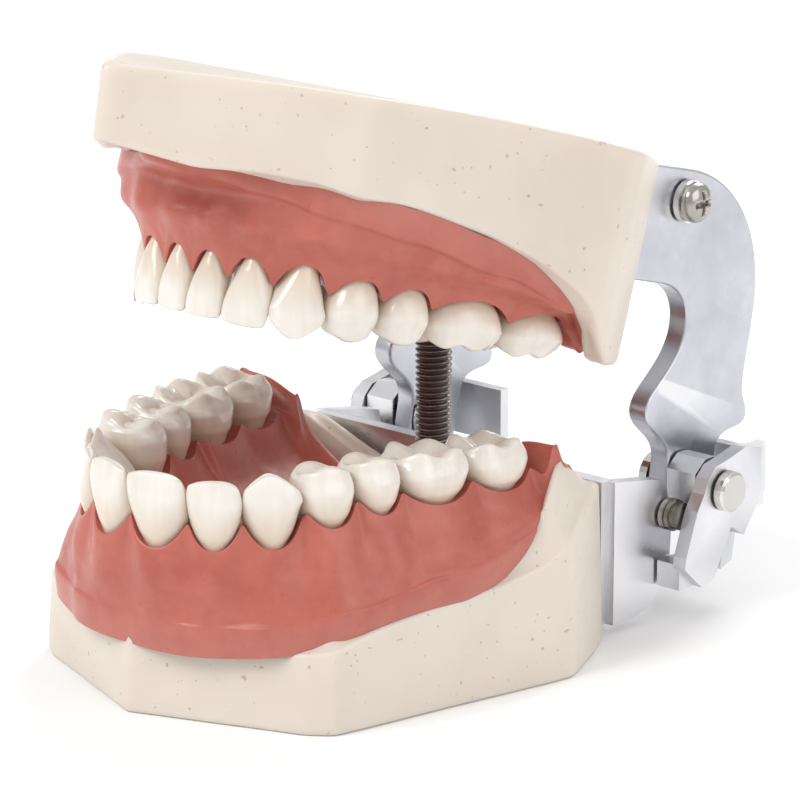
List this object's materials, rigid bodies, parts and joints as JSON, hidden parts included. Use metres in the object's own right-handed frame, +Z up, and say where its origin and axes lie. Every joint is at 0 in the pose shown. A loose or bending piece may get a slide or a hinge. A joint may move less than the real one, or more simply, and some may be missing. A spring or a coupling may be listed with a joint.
{
  "type": "dental typodont model",
  "caption": "Dental teaching model: two hinged jaws with removable teeth in soft gums on cream bases, shown open and upside down.",
  "frame": {"origin": "on the flat underside of the bottom base, in the plane of symmetry, straight below the front edge of the upper central incisors", "axes": "+Z up, -Y towards the front of the mouth, +Y towards the hinge, +X towards the patient's right (the model stands upside down)"},
  "size_m": [0.0648, 0.0965, 0.0798],
  "materials": {
    "base_resin": "cast ivory resin, satin",
    "gum_silicone": "soft satin salmon-red silicone",
    "tooth_enamel": "glossy off-white resin",
    "hinge_aluminium": "satin",
    "plated_hardware": "nickel plated",
    "rod_steel": "dark oiled steel"
  },
  "bodies": {
    "maxillary_stand": {"maxillary_base": "base_resin", "maxillary_gum": "gum_silicone", "upper_right_central_incisor": "tooth_enamel", "upper_right_lateral_incisor": "tooth_enamel", "upper_right_canine": "tooth_enamel", "upper_right_first_premolar": "tooth_enamel", "upper_right_second_premolar": "tooth_enamel", "upper_right_first_molar": "tooth_enamel", "upper_right_second_molar": "tooth_enamel", "upper_left_central_incisor": "tooth_enamel", "upper_left_lateral_incisor": "tooth_enamel", "upper_left_canine": "tooth_enamel", "upper_left_first_premolar": "tooth_enamel", "upper_left_second_premolar": "tooth_enamel", "upper_left_first_molar": "tooth_enamel", "upper_left_second_molar": "tooth_enamel", "lower_strap": "hinge_aluminium", "clevis_right": "hinge_aluminium", "clevis_left": "hinge_aluminium", "hinge_pin_right": "plated_hardware", "hinge_pin_left": "plated_hardware", "knuckle_block_right": "hinge_aluminium", "knuckle_block_left": "hinge_aluminium", "retaining_ring_right": "plated_hardware", "retaining_ring_left": "plated_hardware", "stand_off_pin_right": "rod_steel", "stand_off_pin_left": "rod_steel", "strap_screw_right": "plated_hardware", "strap_screw_left": "plated_hardware"},
    "mandibular_jaw": {"mandibular_base": "base_resin", "mandibular_gum": "gum_silicone", "lower_left_central_incisor": "tooth_enamel", "lower_left_lateral_incisor": "tooth_enamel", "lower_left_canine": "tooth_enamel", "lower_left_first_premolar": "tooth_enamel", "lower_left_second_premolar": "tooth_enamel", "lower_left_first_molar": "tooth_enamel", "lower_left_second_molar": "tooth_enamel", "lower_right_central_incisor": "tooth_enamel", "lower_right_lateral_incisor": "tooth_enamel", "lower_right_canine": "tooth_enamel", "lower_right_first_premolar": "tooth_enamel", "lower_right_second_premolar": "tooth_enamel", "lower_right_first_molar": "tooth_enamel", "lower_right_second_molar": "tooth_enamel", "upper_channel": "hinge_aluminium", "hinge_arm_right": "hinge_aluminium", "hinge_arm_left": "hinge_aluminium", "split_washer_right": "plated_hardware", "split_washer_left": "plated_hardware", "arm_screw_right": "plated_hardware", "arm_screw_left": "plated_hardware", "channel_screw_right": "plated_hardware", "channel_screw_left": "plated_hardware"},
    "stop_rod": {"stop_rod": "rod_steel"},
    "stop_nut": {"stop_nut": "plated_hardware"}
  },
  "joints": [
    {"name": "jaw_hinge", "type": "hinge", "parent": "maxillary_stand", "child": "mandibular_jaw", "pos_m": [0, 0.0767, 0.0165], "axis": [1, 0, 0], "range_deg": [-5, 12]},
    {"name": "stop_nut_turn", "type": "hinge", "parent": "maxillary_stand", "child": "stop_nut", "pos_m": [0, 0.055, 0.0183], "axis": [0, 0, 1], "range_deg": [0, 2745]},
    {"name": "stop_rod_travel", "type": "slide", "parent": "maxillary_stand", "child": "stop_rod", "axis": [0, 0, 1], "range_m": [-0.0061, 0]}
  ],
  "couplings": [
    {"joint": "stop_nut_turn", "follows": "stop_rod_travel", "rad_per_m": -7854}
  ]
}
